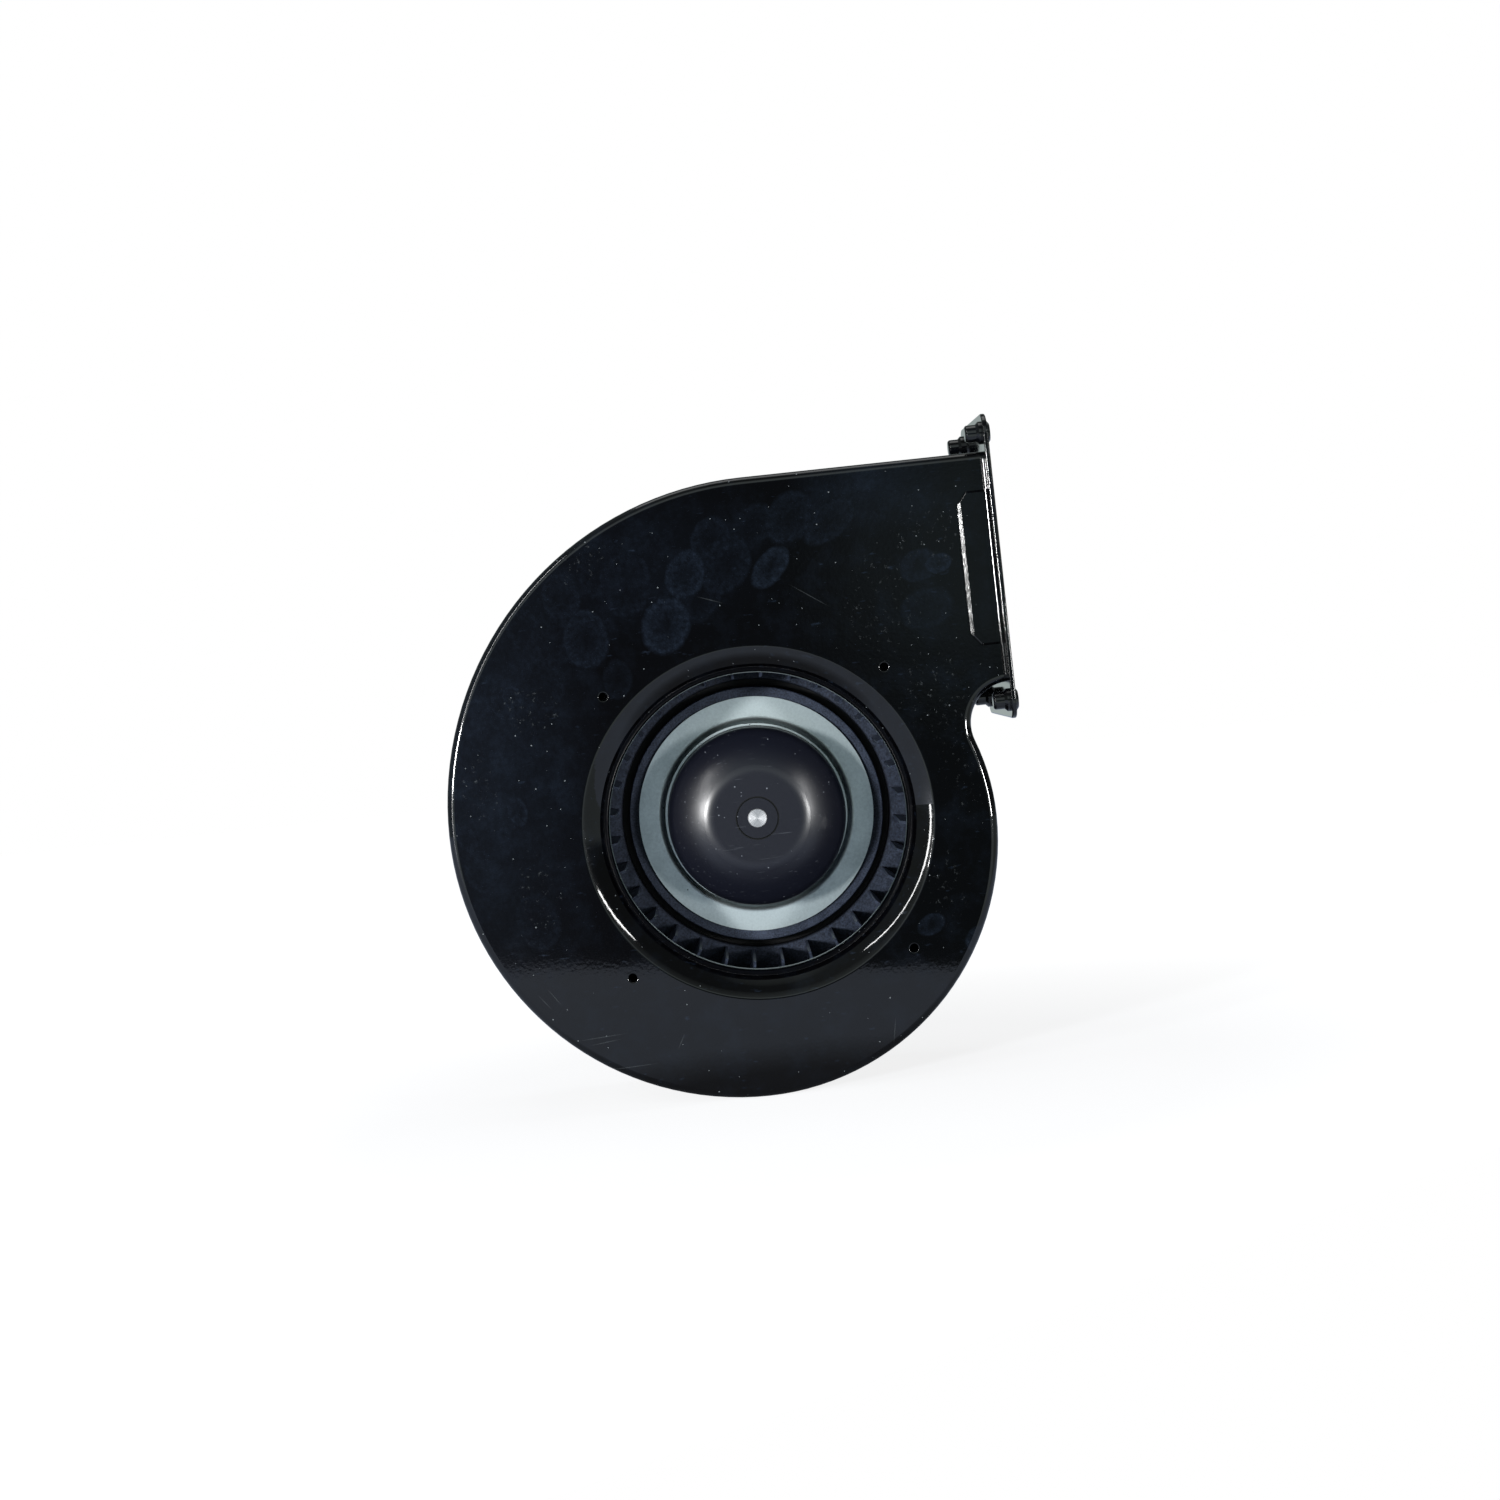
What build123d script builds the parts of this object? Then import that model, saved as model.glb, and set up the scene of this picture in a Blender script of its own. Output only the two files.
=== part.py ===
import math
import os

from build123d import *

os.makedirs("parts", exist_ok=True)

# Centrifugal blower: scroll housing, bladed wheel and external-rotor motor.
# Millimetres. The fan axis is Y, the inlet faces -Y and the outlet faces +X.
# The origin lies on the fan axis in the plane of the inlet face.

# Scroll housing, pressed and welded from painted sheet steel
housing_depth = 76.0
sheet = 1.5
edge_radius = 3.0
rim_depth = 9.0
lap_gap = 0.1
centre_step = 7.15
scroll_room = 22.5
tongue_radius = 16.5
outlet_floor = 45.5
outlet_neck = 1.6

# Inlet bell-mouth and the guard holes around it
inlet_share = 0.75
inlet_edge_bend = 2.5
inlet_edge_slope = 20.0
inlet_curve = 17.93
inlet_curve_slope = 45.0
inlet_flare_width = 11.0
inlet_lip = 0.5
guard_margin = 9.0
guard_hole_radius = 1.65
guard_hole_round = 0.5
guard_collar_wall = 0.9
guard_collar_length = 1.8

# Outlet flange with one welded tab on each side plate
flange_sheet = 2.0
flange_side = 8.0
flange_height = 14.8
flange_corner = 8.0
flange_edge = 0.6
tab_height = 62.0
tab_reach = 12.7
tab_chamfer_x = 4.0
tab_chamfer_z = 5.0
tab_bend = 1.5
tab_edge = 0.9
tab_slope_width = 1.4
tab_slope_depth = 0.53
weld_leg = 1.3

# Closed rivet nuts in the flange corners
nut_inset_side = 8.5
nut_inset_end = 7.5
nut_thread_radius = 2.1
nut_body_radius = 3.5
nut_length = 6.6
nut_end_wall = 1.4
nut_end_round = 1.2
nut_bulge = 1.1
nut_bulge_length = 2.2
nut_head_width = 0.9
nut_head = 1.4
nut_hole_gap = 0.1

# Bladed wheel
wheel_radius = 80.0
wheel_rear_gap = 6.0
blade_count = 32
blade_curve = 1.0628
blade_thickness = 1.1
blade_tip_inset = 1.3
blade_phase = 4.05
blade_corner = 6.0
blade_step = 1.4
ring_overlap = 2.2
ring_thickness = 2.5
ring_clearance = 2.0
floor_thickness = 2.5
channel_share = 0.386
channel_width = 3.0
channel_depth = 6.0
channel_wall = 2.0
hub_step = 3.2
hub_web = 2.5
hub_sleeve = 2.5

# Plated clamp ring round the rotor
clamp_share = 0.747
clamp_sheet = 1.5
clamp_collar = 3.8
clamp_bend = 3.0

# Rotor cup, bush and shaft
rotor_radius = 37.0
rotor_length = 45.3
rotor_rim_gap = 4.0
rotor_wall = 2.0
dome_flat_share = 0.48
dome_bend_share = 0.324
dome_bend_slope = 20.0
dome_crown_share = 1.135
dome_crown_slope = 40.0
bush_radius = 8.6
bush_groove = 0.3
bush_groove_depth = 1.0
bush_length = 17.3
bush_flange_radius = 11.0
bush_flange = 2.5
bush_nose_radius = 5.8
bush_nose = 2.2
shaft_radius = 4.0
shaft_proud = 0.3
shaft_tail = 2.4
break_edge = 0.4

# Ball bearings and what holds them
bearing_radius = 11.0
bearing_width = 7.0
bearing_sunk = 2.6
outer_race_wall = 2.0
inner_race_wall = 2.2
shield_gap = 0.15
shield_inset = 0.2
shield_sheet = 0.5
tube_wall = 3.0
tube_lead = 1.0
tube_shoulder = 1.5
tube_cone = 6.0
spring_height = 0.6
spring_gap = 0.2
clip_sheet = 0.8
clip_radius = 6.0
clip_groove = 0.4
clip_gap_angle = 50.0

# Stator and magnets
air_gap = 0.6
magnet_thickness = 4.0
magnet_count = 8
magnet_gap = 1.2
magnet_front_gap = 2.85
magnet_rear_gap = 4.0
stack_inset = 2.0
slot_count = 9
yoke_share = 0.2744
tooth_share = 0.2303
tip_share = 0.1768
slot_opening = 2.5
insulator = 1.0
insulator_inset = 0.3
coil_share = 0.0855
coil_end = 3.0
coil_gap = 0.05
coil_room = 0.5
coil_round = 2.0

# Round motor plate over the rear opening
motor_plate = 2.0
motor_plate_round = 0.8
wheel_pass = 1.5
plate_lap = 8.5
plate_screw_count = 6
plate_screw_radius = 2.0
plate_screw_length = 7.0
spigot_radius = 30.0
spigot_gap = 0.1
screw_gap = 0.2

# Cast motor base and its electronics chamber
base_radius = 52.0
base_floor = 4.0
chamber_wall = 4.0
chamber_depth = 15.0
ear_count = 4
ear_offset = 6.0
ear_radius = 7.0
base_screw_radius = 2.5
base_screw_length = 9.0
cover_screw_count = 4
cover_boss_inset = 3.0
cover_boss_radius = 4.5
cover_screw_radius = 1.5
cover_screw_length = 9.0
gasket_sheet = 1.0
gasket_inset = 0.5
cover_sheet = 3.0
cover_round = 1.2
cover_rib_count = 16
cover_rib = 2.5
cover_rib_width = 2.0
cover_rib_gap = 1.0
cover_hub_radius = 16.0

# Circuit board
board_gap = 6.0
board_bore = 12.0
board_sheet = 1.6
board_boss_count = 3
board_boss_inset = 6.0
board_boss_radius = 3.0
board_boss_height = 5.0
board_notch_gap = 0.5
board_screw_radius = 1.25
board_screw_length = 5.0
capacitor_count = 3
capacitor_inset = 15.0
capacitor_pitch = 26.0
capacitor_radius = 4.0
capacitor_height = 6.2
chip_count = 6
chip_inset = 15.0
chip_pitch = 20.0
chip_size = 6.5
chip_height = 2.3
controller_inset = 17.0
controller_size = 9.0
controller_height = 1.4

# Cable grommet
cable_boss_gap = 0.5
cable_boss_wall = 2.2
cable_boss_reach = 3.0
grommet_wall = 1.8
grommet_lip = 1.5
grommet_lip_width = 1.6

# Volute, inlet and outlet
first_radius = wheel_radius + scroll_room
inlet_radius = inlet_share * wheel_radius
edge_sine = math.sin(math.radians(inlet_edge_slope))
edge_cosine = math.cos(math.radians(inlet_edge_slope))
curve_sine = math.sin(math.radians(inlet_curve_slope))
curve_cosine = math.cos(math.radians(inlet_curve_slope))
curve_out = (inlet_curve - inlet_edge_bend) * edge_sine
curve_in = (inlet_curve - inlet_edge_bend) * edge_cosine
throat_room = inlet_flare_width + curve_out - inlet_curve * curve_sine
inlet_throat_curve = throat_room / (1 - curve_sine)
throat_out = curve_out + (inlet_throat_curve - inlet_curve) * curve_sine
throat_in = curve_in + (inlet_throat_curve - inlet_curve) * curve_cosine
inlet_flare = inlet_edge_bend + throat_in
flare_outer = inlet_radius + inlet_flare_width
guard_ring = flare_outer + guard_margin
quarter_radii = [first_radius + n * 2 * centre_step for n in (-1, 0, 1, 2)]
outlet_top = centre_step + quarter_radii[3]
outlet_middle = (outlet_top + outlet_floor) / 2
outlet_span = outlet_top - outlet_floor
tongue_z = outlet_floor - tongue_radius
tongue_rise = tongue_z + centre_step
tongue_run = math.sqrt((quarter_radii[0] + tongue_radius) ** 2 - tongue_rise**2)
tongue_x = centre_step + tongue_run
tongue_angle = math.degrees(math.atan2(tongue_rise, tongue_run))
wrap_inset = sheet + lap_gap
outlet_reach = tongue_x + outlet_neck
flange_back = outlet_reach - flange_sheet
flange_wide = housing_depth + 2 * flange_side
flange_tall = outlet_span + 2 * flange_height
nut_spacing_y = flange_wide - 2 * nut_inset_side
nut_spacing_z = flange_tall - 2 * nut_inset_end

# Depths and radii of the wheel
floor_depth = housing_depth - wheel_rear_gap - channel_wall - channel_depth
channel_floor = floor_depth + channel_depth
channel_inner = rotor_radius + channel_share * (wheel_radius - rotor_radius)
clamp_radius = rotor_radius + clamp_share * (channel_inner - rotor_radius)
channel_outer = channel_inner + channel_width
hub_front = floor_depth - hub_step
clamp_front = hub_front - clamp_sheet
ring_front = inlet_flare + inlet_lip - ring_overlap
ring_inner = inlet_radius + sheet + ring_clearance
blade_front = ring_front + ring_thickness
blade_inner = channel_outer + blade_step
blade_tip = wheel_radius - blade_tip_inset
blade_arc = blade_curve * (blade_tip - blade_inner)

# Depths and radii of the motor
rotor_rim = housing_depth - rotor_rim_gap
rotor_front = rotor_rim - rotor_length
bush_seat = rotor_front + rotor_wall
dome_flat = dome_flat_share * rotor_radius
dome_bend = dome_bend_share * rotor_radius
dome_crown = dome_crown_share * rotor_radius
bend_sine = math.sin(math.radians(dome_bend_slope))
bend_cosine = math.cos(math.radians(dome_bend_slope))
crown_sine = math.sin(math.radians(dome_crown_slope))
crown_cosine = math.cos(math.radians(dome_crown_slope))
crown_middle = dome_flat + (dome_bend - dome_crown) * bend_sine
crown_centre = rotor_front + dome_bend + (dome_crown - dome_bend) * bend_cosine
crown_edge = crown_middle + dome_crown * crown_sine
dome_shoulder = (rotor_radius - crown_edge) / (1 - crown_sine)
dome_heel = rotor_radius - dome_shoulder
dome_end = crown_centre - (dome_crown - dome_shoulder) * crown_cosine
motor_plate_rear = housing_depth + motor_plate
base_rear = motor_plate_rear + base_floor
chamber_rear = base_rear + chamber_depth
chamber_radius = base_radius - chamber_wall
cover_front = chamber_rear + gasket_sheet
cover_rear = cover_front + cover_sheet
bearing_front = rotor_front + bush_length
rear_seat_end = base_rear - bearing_sunk
bearing_rear = rear_seat_end - bearing_width
race_outer = bearing_radius - outer_race_wall
race_inner = shaft_radius + inner_race_wall
spring_end = bearing_front + bearing_width + spring_height
tube_radius = bearing_radius + tube_wall
shaft_end = rear_seat_end + clip_sheet + shaft_tail
magnet_outer = rotor_radius - rotor_wall
magnet_start = dome_end + magnet_front_gap
magnet_length = rotor_rim - magnet_rear_gap - magnet_start
stack_start = magnet_start + stack_inset
stack_length = magnet_length - 2 * stack_inset
stack_end = stack_start + stack_length
stator_radius = magnet_outer - magnet_thickness - air_gap
yoke_width = yoke_share * (stator_radius - tube_radius)
tooth_tip = tip_share * (stator_radius - tube_radius)
tooth_width = tooth_share * stator_radius
coil_side = coil_share * stator_radius
rear_opening = wheel_radius + wheel_pass
board_front = base_rear + board_boss_height
board_rear = board_front + board_sheet
board_radius = chamber_radius - board_gap
cover_boss_ring = chamber_radius - cover_boss_inset
grommet_y = base_rear + chamber_depth / 2
cable_boss_radius = chamber_depth / 2 - cable_boss_gap
cable_boss_end = base_radius + cable_boss_reach
cable_boss_middle = (chamber_radius + cable_boss_end) / 2
grommet_radius = cable_boss_radius - cable_boss_wall


def depth_plane(depth):
    return Plane.XZ.offset(-depth)


def write_piece(part, name):
    part.label = name
    export_step(part, "parts/" + name + ".step")


def ring_spots(radius, count, start, pitch):
    # Points on a circle round the fan axis, as x and z.
    angles = [math.radians(start + pitch * i) for i in range(count)]
    return [(radius * math.cos(a), radius * math.sin(a)) for a in angles]


def scroll_face(inset, mouth):
    # Four arcs struck from the corners of a square, the tongue and the outlet.
    step = centre_step
    radii = [r - inset for r in quarter_radii]
    top = outlet_top - inset
    notch = tongue_radius + inset
    reach = max(mouth, tongue_x) + sheet
    with BuildSketch() as face:
        with BuildLine():
            CenterArc((step, step), radii[3], 90, 90)
            CenterArc((-step, step), radii[2], 180, 90)
            CenterArc((-step, -step), radii[1], 270, 90)
            CenterArc((step, -step), radii[0], 0, tongue_angle)
            CenterArc((tongue_x, tongue_z), notch, 180 + tongue_angle, -90 - tongue_angle)
            Polyline(
                (tongue_x, tongue_z + notch),
                (reach, tongue_z + notch),
                (reach, top),
                (step, top),
            )
        make_face()
        with Locations((mouth, outlet_middle)):
            Rectangle(
                2 * (reach - mouth),
                2 * outlet_top,
                align=(Align.MIN, Align.CENTER),
                mode=Mode.SUBTRACT,
            )
    return face.sketch


def pan_block(inset, mouth, round_radius):
    # Solid block of the scroll's outline, its front edge rounded.
    with BuildPart() as block:
        with BuildSketch(depth_plane(inset)):
            add(scroll_face(inset, mouth))
        extrude(amount=-rim_depth)
        front = block.faces().sort_by(Axis.Y)[0]
        outline = front.edges().filter_by(lambda e: e.center().X < flange_back - tab_edge)
        fillet(outline, round_radius)
    return block.part


def side_plate():
    # A side plate with its rounded edge and turned rim, open at the outlet.
    with BuildPart() as pan:
        add(pan_block(0, flange_back, edge_radius))
        add(pan_block(sheet, outlet_reach, edge_radius - sheet), mode=Mode.SUBTRACT)
    return pan.part


def ring_face(outer, inner):
    with BuildSketch() as face:
        Circle(outer)
        Circle(inner, mode=Mode.SUBTRACT)
    return face.sketch


def turned(points):
    # A solid turned about the fan axis from points of radius and depth.
    with BuildPart() as solid:
        with BuildSketch(Plane.XY):
            with BuildLine():
                Polyline(*points, close=True)
            make_face()
        revolve(axis=Axis.Y)
    return solid.part


def cup_face(inset):
    # Half section of the rotor cup, drawn in by inset.
    bend = dome_bend - inset
    crown = dome_crown - inset
    shoulder = dome_shoulder - inset
    top = rotor_front + inset
    side = rotor_radius - inset
    with BuildSketch() as face:
        with BuildLine():
            Line((0, top), (dome_flat, top))
            crown_turn = dome_crown_slope - dome_bend_slope
            CenterArc((dome_flat, top + bend), bend, -90, dome_bend_slope)
            CenterArc((crown_middle, crown_centre), crown, dome_bend_slope - 90, crown_turn)
            CenterArc((dome_heel, dome_end), shoulder, dome_crown_slope - 90, 90 - dome_crown_slope)
            Polyline((side, dome_end), (side, rotor_rim), (0, rotor_rim), (0, top))
        make_face()
    return face.sketch


def stator_face(tip_radius):
    # Toothed stator plate: yoke, teeth and tips parted by the slot openings.
    tooth_root = tube_radius + yoke_width / 2
    tooth_length = tip_radius - tooth_tip / 2 - tooth_root
    with BuildSketch() as face:
        add(ring_face(tip_radius, tip_radius - tooth_tip))
        with PolarLocations(tip_radius, slot_count, start_angle=180 / slot_count):
            Rectangle(4 * tooth_tip, slot_opening, mode=Mode.SUBTRACT)
        with PolarLocations(tooth_root + tooth_length / 2, slot_count):
            Rectangle(tooth_length, tooth_width)
        Circle(tube_radius + yoke_width)
        Circle(tube_radius, mode=Mode.SUBTRACT)
    return face.sketch


def one_screw(radius, length, seat):
    # A cross-slot pan-head screw on the fan axis, driven toward the inlet side.
    head_radius = 2 * radius
    head = 1.3 * radius
    slot = 0.35 * radius
    point = seat - length
    with BuildPart() as screw:
        with BuildSketch(Plane.XY):
            with BuildLine():
                Polyline(
                    (0, point),
                    (0.8 * radius, point),
                    (radius, point + 0.4 * radius),
                    (radius, seat),
                    (head_radius, seat),
                    (head_radius, seat + head / 2),
                    (0.75 * head_radius, seat + head),
                    (0, seat + head),
                    close=True,
                )
            make_face()
        revolve(axis=Axis.Y)
        with BuildSketch(depth_plane(seat + head)):
            Rectangle(head_radius, slot)
            Rectangle(slot, head_radius)
        extrude(amount=head / 2, mode=Mode.SUBTRACT)
    return screw.part


def screw_set(spots, radius, length, seat):
    with BuildPart() as screws:
        for x, z in spots:
            add(one_screw(radius, length, seat).moved(Location((x, 0, z))))
    return screws.part


guard_spots = ring_spots(guard_ring, 4, 45, 90)
plate_spots = ring_spots(
    rear_opening + plate_lap / 2, plate_screw_count, 0, 360 / plate_screw_count
)
ear_spots = ring_spots(base_radius + ear_offset, ear_count, 45, 360 / ear_count)
cover_spots = ring_spots(cover_boss_ring, cover_screw_count, 45, 360 / cover_screw_count)
board_spots = ring_spots(
    board_radius - board_boss_inset, board_boss_count, 90, 360 / board_boss_count
)
chip_spots = ring_spots(board_radius - chip_inset, chip_count, -50, chip_pitch)
capacitor_spots = ring_spots(
    board_radius - capacitor_inset, capacitor_count, 154, capacitor_pitch
)
controller_spots = ring_spots(board_radius - controller_inset, 1, -105, 0)
nut_spots = [
    (housing_depth / 2 + sy * nut_spacing_y / 2, outlet_middle + sz * nut_spacing_z / 2)
    for sy in (-1, 1)
    for sz in (-1, 1)
]

# Inlet side plate with the drawn bell-mouth and the burred guard holes
with BuildPart() as front_plate:
    add(side_plate())
    with BuildSketch(depth_plane(0)):
        Circle(flare_outer)
    extrude(amount=-rim_depth, mode=Mode.SUBTRACT)
    with BuildSketch(Plane.XY):
        with BuildLine():
            for depth in (0, sheet):
                edge_centre = (flare_outer, inlet_edge_bend)
                curve_centre = (flare_outer + curve_out, inlet_edge_bend + curve_in)
                throat_centre = (flare_outer + throat_out, inlet_flare)
                curve_turn = inlet_curve_slope - inlet_edge_slope
                CenterArc(edge_centre, inlet_edge_bend - depth, 270, -inlet_edge_slope)
                CenterArc(curve_centre, inlet_curve - depth, 270 - inlet_edge_slope, -curve_turn)
                CenterArc(throat_centre, inlet_throat_curve - depth, 270 - inlet_curve_slope, inlet_curve_slope - 90)
            Line((flare_outer, 0), (flare_outer, sheet))
            Polyline(
                (inlet_radius + sheet, inlet_flare),
                (inlet_radius + sheet, inlet_flare + inlet_lip),
                (inlet_radius, inlet_flare + inlet_lip),
                (inlet_radius, inlet_flare),
            )
        make_face()
    revolve(axis=Axis.Y)
    with BuildSketch(depth_plane(sheet)):
        with Locations(*guard_spots):
            Circle(guard_hole_radius + guard_collar_wall)
    extrude(amount=-guard_collar_length)
    with BuildSketch(depth_plane(0)):
        with Locations(*guard_spots):
            Circle(guard_hole_radius)
    extrude(amount=-sheet - guard_collar_length, mode=Mode.SUBTRACT)
    mouths = front_plate.edges().filter_by(GeomType.CIRCLE).group_by(Axis.Y)[0]
    mouths = mouths.filter_by(lambda e: e.radius < 2 * guard_hole_radius)
    fillet(mouths, guard_hole_round)
write_piece(front_plate.part, "front_plate")

# Scroll wrap: one strip from the outlet top round to the outlet floor
with BuildPart() as scroll_wrap:
    with BuildSketch(depth_plane(edge_radius)):
        add(scroll_face(wrap_inset, flange_back))
        add(scroll_face(wrap_inset + sheet, outlet_reach), mode=Mode.SUBTRACT)
    extrude(amount=-(housing_depth - 2 * edge_radius))
write_piece(scroll_wrap.part, "scroll_wrap")

# Rear side plate with the opening that the wheel passes through
with BuildPart() as back_plate:
    add(mirror(side_plate(), about=depth_plane(housing_depth / 2)))
    with BuildSketch(depth_plane(housing_depth)):
        Circle(rear_opening)
        with Locations(*plate_spots):
            Circle(plate_screw_radius)
    extrude(amount=rim_depth, mode=Mode.SUBTRACT)
write_piece(back_plate.part, "back_plate")

# Outlet flange: rounded frame, nut holes, bent tabs and weld beads
tab_left = flange_back - tab_reach
tab_low = outlet_middle - tab_height / 2
tab_high = outlet_middle + tab_height / 2
with BuildPart() as outlet_flange:
    with BuildSketch(Plane.YZ.offset(flange_back)):
        with Locations((housing_depth / 2, outlet_middle)):
            RectangleRounded(flange_wide, flange_tall, flange_corner)
    extrude(amount=flange_sheet)
    fillet(outlet_flange.faces().filter_by(Axis.X).edges(), flange_edge)
    with BuildSketch(Plane.YZ.offset(flange_back)):
        with Locations((housing_depth / 2, outlet_middle)):
            Rectangle(housing_depth - 2 * sheet, outlet_span - 2 * wrap_inset - 2 * sheet)
        with Locations(*nut_spots):
            Circle(nut_body_radius + nut_hole_gap)
    extrude(amount=flange_sheet, mode=Mode.SUBTRACT)
    for front, outward in ((-flange_sheet, -1), (housing_depth, 1)):
        with BuildSketch(depth_plane(front)):
            with BuildLine():
                Polyline(
                    (flange_back, tab_low),
                    (tab_left + tab_chamfer_x, tab_low),
                    (tab_left, tab_low + tab_chamfer_z),
                    (tab_left, tab_high - tab_chamfer_z),
                    (tab_left + tab_chamfer_x, tab_high),
                    (flange_back, tab_high),
                    close=True,
                )
            make_face()
        extrude(amount=-flange_sheet)
        outside = outlet_flange.faces().filter_by(Axis.Y).sort_by(Axis.X)
        outside = outside.filter_by(lambda f: f.center().X < flange_back)
        outside = outside.sort_by(Axis.Y)[-1 if outward > 0 else 0]
        bend = outside.edges().sort_by(Axis.X)[-1:]
        corners = outside.edges().sort_by(Axis.X)[1:3]
        fillet(bend, tab_bend)
        fillet(corners, tab_edge)
        tab_face = front if outward < 0 else front + flange_sheet
        with BuildSketch(Plane.XY.offset(tab_low)):
            with BuildLine():
                Polyline(
                    (tab_left, tab_face),
                    (tab_left + tab_slope_width, tab_face),
                    (tab_left, tab_face - outward * tab_slope_depth),
                    close=True,
                )
            make_face()
        extrude(amount=tab_height, mode=Mode.SUBTRACT)
        with BuildSketch(Plane.YZ.offset(tab_left + tab_chamfer_x)):
            for edge_z, upward in ((tab_low, 1), (tab_high, -1)):
                with BuildLine():
                    Polyline(
                        (tab_face, edge_z),
                        (tab_face, edge_z + upward * tab_edge),
                        (tab_face - outward * tab_edge, edge_z),
                        close=True,
                    )
                make_face()
        extrude(amount=flange_back - tab_left - tab_chamfer_x, mode=Mode.SUBTRACT)
    with BuildSketch(Plane.XY.offset(outlet_floor + edge_radius)):
        for face_y, outward in ((0, -1), (housing_depth, 1)):
            with BuildLine():
                bead = CenterArc((flange_back, face_y), weld_leg, 180, -outward * 90)
                Polyline(bead @ 1, (flange_back, face_y), bead @ 0)
            make_face()
    extrude(amount=outlet_span - 2 * edge_radius)
write_piece(outlet_flange.part, "outlet_flange")

# Closed rivet nuts, set from the outlet side
nut_back = -flange_sheet
nut_end = nut_back - nut_length
with BuildPart() as rivet_nut:
    with BuildSketch(Plane.XY):
        with BuildLine():
            CenterArc(
                (nut_body_radius - nut_end_round, nut_end + nut_end_round), nut_end_round, 270, 90
            )
            Polyline(
                (nut_body_radius, nut_end + nut_end_round),
                (nut_body_radius, nut_back - nut_bulge_length),
                (nut_body_radius + nut_bulge, nut_back - nut_bulge_length / 2),
                (nut_body_radius + nut_bulge, nut_back),
                (nut_body_radius, nut_back),
                (nut_body_radius, 0),
                (nut_body_radius + nut_head_width, 0),
                (nut_body_radius + nut_head_width, nut_head / 2),
                (nut_body_radius, nut_head),
                (nut_thread_radius, nut_head),
                (nut_thread_radius, nut_end + nut_end_wall),
                (0, nut_end + nut_end_wall),
                (0, nut_end),
                (nut_body_radius - nut_end_round, nut_end),
            )
        make_face()
    revolve(axis=Axis.Y)
with BuildPart() as flange_nuts:
    for y, z in nut_spots:
        add(rivet_nut.part.moved(Location((outlet_reach, y, z), (0, 0, -90))))
write_piece(flange_nuts.part, "flange_rivet_nuts")

# Wheel disc with the stiffening channel and the hub sleeve
wheel_disc = turned(
    [
        (rotor_radius, hub_front),
        (channel_inner - break_edge, hub_front),
        (channel_inner, hub_front + break_edge),
        (channel_inner, channel_floor),
        (channel_outer, channel_floor),
        (channel_outer, floor_depth + break_edge),
        (channel_outer + break_edge, floor_depth),
        (wheel_radius, floor_depth),
        (wheel_radius, floor_depth + floor_thickness),
        (channel_outer + channel_wall, floor_depth + floor_thickness),
        (channel_outer + channel_wall, channel_floor + channel_wall),
        (channel_inner - channel_wall, channel_floor + channel_wall),
        (channel_inner - channel_wall, hub_front + hub_web),
        (rotor_radius + hub_sleeve, hub_front + hub_web),
        (rotor_radius + hub_sleeve, rotor_rim),
        (rotor_radius, rotor_rim),
    ]
)
write_piece(wheel_disc, "wheel_disc")

# Forward-curved blade: an arc that leaves the inner edge radially and ends at
# the tip radius, with its front inner corner cut back clear of the inlet lip
chord_a = 2 * blade_inner * blade_arc
chord_b = 2 * blade_arc**2
chord_c = blade_tip**2 - blade_inner**2 - chord_b
blade_sweep = math.degrees(
    math.atan2(chord_b, chord_a) + math.asin(chord_c / math.hypot(chord_a, chord_b))
)
with BuildPart() as blade:
    with BuildSketch(depth_plane(floor_depth)):
        with BuildLine():
            CenterArc((blade_inner, -blade_arc), blade_arc, 90, -blade_sweep)
        trace(line_width=blade_thickness)
    extrude(amount=floor_depth - blade_front)
    with BuildSketch(Plane.XY):
        with BuildLine():
            Polyline(
                (blade_inner, blade_front + blade_corner),
                (0, blade_front + blade_corner),
                (0, ring_front),
                (ring_inner, ring_front),
                (ring_inner, blade_front),
                close=True,
            )
        make_face()
    revolve(axis=Axis.Y, mode=Mode.SUBTRACT)
with BuildPart() as wheel_blades:
    for i in range(blade_count):
        add(blade.part.rotate(Axis.Y, -blade_phase - 360 * i / blade_count))
write_piece(wheel_blades.part, "wheel_blades")

# Front ring of the wheel, overlapped by the inlet lip
wheel_ring = turned(
    [
        (ring_inner, ring_front + break_edge),
        (ring_inner + break_edge, ring_front),
        (wheel_radius, ring_front),
        (wheel_radius, blade_front),
        (ring_inner, blade_front),
    ]
)
write_piece(wheel_ring, "wheel_ring")

# Plated clamp ring with its collar turned up against the rotor
collar_radius = rotor_radius + clamp_sheet
collar_front = clamp_front - clamp_collar
with BuildPart() as clamp_ring:
    with BuildSketch(Plane.XY) as clamp_section:
        with BuildLine():
            Polyline(
                (rotor_radius, collar_front),
                (collar_radius, collar_front),
                (collar_radius, clamp_front),
                (clamp_radius, clamp_front),
                (clamp_radius, hub_front),
                (rotor_radius, hub_front),
                close=True,
            )
        make_face()
        corners = clamp_section.vertices().group_by(Axis.Y)
        fillet(corners[0], break_edge)
        inner_corner = clamp_section.vertices().group_by(Axis.Y)[-2].sort_by(Axis.X)[:1]
        fillet(inner_corner, clamp_bend)
    revolve(axis=Axis.Y)
write_piece(clamp_ring.part, "clamp_ring")

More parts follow.
